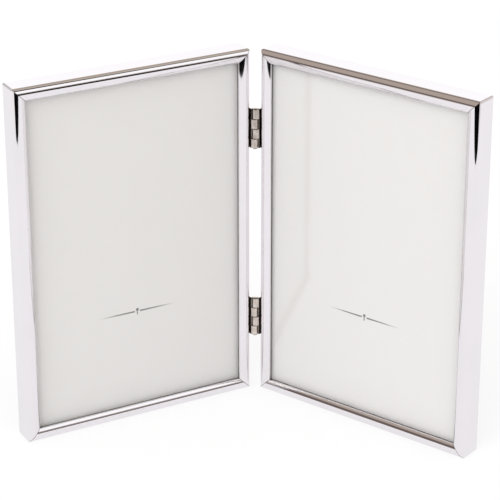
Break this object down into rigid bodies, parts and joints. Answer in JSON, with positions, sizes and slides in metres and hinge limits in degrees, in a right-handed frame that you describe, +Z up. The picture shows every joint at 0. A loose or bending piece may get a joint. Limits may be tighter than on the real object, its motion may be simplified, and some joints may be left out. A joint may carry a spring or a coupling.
{
  "type": "double photo frame",
  "caption": "Folding double photo frame in polished silver plate: hinged leaves hold upright prints behind glass and stand open like a book.",
  "frame": {"origin": "on the table, at the middle of the open frame's bounding box", "axes": "+X to the viewer's right across both leaves, +Y away from the viewer, +Z up along the hinge"},
  "size_m": [0.1928, 0.066, 0.1568],
  "materials": {
    "silver_plate": "bright polished silver plate on rolled steel section",
    "nickel_hinge": "nickel-plated steel, softly polished",
    "nickel_button": "nickel-plated steel, blanked and tumbled",
    "nickel_rivet": "nickel-plated steel rivets",
    "zinc_plate": "zinc-plated steel strip",
    "picture_glass": "clear float glass with ground edges",
    "picture_paper": "pale grey coated paper with a thin printed rule",
    "hardboard": "brown hardboard with a sawn edge",
    "velvet": "black short-pile velvet"
  },
  "bodies": {
    "left_leaf": {"left_top_rail": "silver_plate", "left_bottom_rail": "silver_plate", "left_outer_rail": "silver_plate", "left_hinge_rail": "silver_plate", "left_corner_angles": "zinc_plate", "left_glass": "picture_glass", "left_picture_sheet": "picture_paper", "left_backing_board": "hardboard", "left_velvet_back": "velvet", "left_button_rivets": "nickel_rivet", "left_hinge_rivets": "nickel_rivet", "upper_hinge_left_plate": "nickel_hinge", "lower_hinge_left_plate": "nickel_hinge", "upper_hinge_pin": "nickel_hinge", "lower_hinge_pin": "nickel_hinge"},
    "right_leaf": {"right_top_rail": "silver_plate", "right_bottom_rail": "silver_plate", "right_outer_rail": "silver_plate", "right_hinge_rail": "silver_plate", "right_corner_angles": "zinc_plate", "right_glass": "picture_glass", "right_picture_sheet": "picture_paper", "right_backing_board": "hardboard", "right_velvet_back": "velvet", "right_button_rivets": "nickel_rivet", "right_hinge_rivets": "nickel_rivet", "upper_hinge_right_plate": "nickel_hinge", "lower_hinge_right_plate": "nickel_hinge"},
    "left_turn_button_inner": {"left_turn_button_inner": "nickel_button"},
    "left_turn_button_outer": {"left_turn_button_outer": "nickel_button"},
    "left_turn_button_top": {"left_turn_button_top": "nickel_button"},
    "left_turn_button_bottom": {"left_turn_button_bottom": "nickel_button"},
    "right_turn_button_inner": {"right_turn_button_inner": "nickel_button"},
    "right_turn_button_outer": {"right_turn_button_outer": "nickel_button"},
    "right_turn_button_top": {"right_turn_button_top": "nickel_button"},
    "right_turn_button_bottom": {"right_turn_button_bottom": "nickel_button"}
  },
  "joints": [
    {"name": "fold", "type": "hinge", "parent": "left_leaf", "child": "right_leaf", "pos_m": [0, 0.02445, 0], "axis": [0, 0, 1], "range_deg": [-114, 66]},
    {"name": "left_inner_button_turn", "type": "hinge", "parent": "left_leaf", "child": "left_turn_button_inner", "pos_m": [-0.01396, 0.02695, 0.0784], "axis": [-0.5446, 0.8387, 0], "range_deg": [-90, 90]},
    {"name": "left_outer_button_turn", "type": "hinge", "parent": "left_leaf", "child": "left_turn_button_outer", "pos_m": [-0.08827, -0.0213, 0.0784], "axis": [-0.5446, 0.8387, 0], "range_deg": [-90, 90]},
    {"name": "left_top_button_turn", "type": "hinge", "parent": "left_leaf", "child": "left_turn_button_top", "pos_m": [-0.05112, 0.00282, 0.1481], "axis": [-0.5446, 0.8387, 0], "range_deg": [-90, 90]},
    {"name": "left_bottom_button_turn", "type": "hinge", "parent": "left_leaf", "child": "left_turn_button_bottom", "pos_m": [-0.05112, 0.00282, 0.0087], "axis": [-0.5446, 0.8387, 0], "range_deg": [-90, 90]},
    {"name": "right_inner_button_turn", "type": "hinge", "parent": "right_leaf", "child": "right_turn_button_inner", "pos_m": [0.01396, 0.02695, 0.0784], "axis": [0.5446, 0.8387, 0], "range_deg": [-90, 90]},
    {"name": "right_outer_button_turn", "type": "hinge", "parent": "right_leaf", "child": "right_turn_button_outer", "pos_m": [0.08827, -0.0213, 0.0784], "axis": [0.5446, 0.8387, 0], "range_deg": [-90, 90]},
    {"name": "right_top_button_turn", "type": "hinge", "parent": "right_leaf", "child": "right_turn_button_top", "pos_m": [0.05112, 0.00282, 0.1481], "axis": [0.5446, 0.8387, 0], "range_deg": [-90, 90]},
    {"name": "right_bottom_button_turn", "type": "hinge", "parent": "right_leaf", "child": "right_turn_button_bottom", "pos_m": [0.05112, 0.00282, 0.0087], "axis": [0.5446, 0.8387, 0], "range_deg": [-90, 90]}
  ]
}
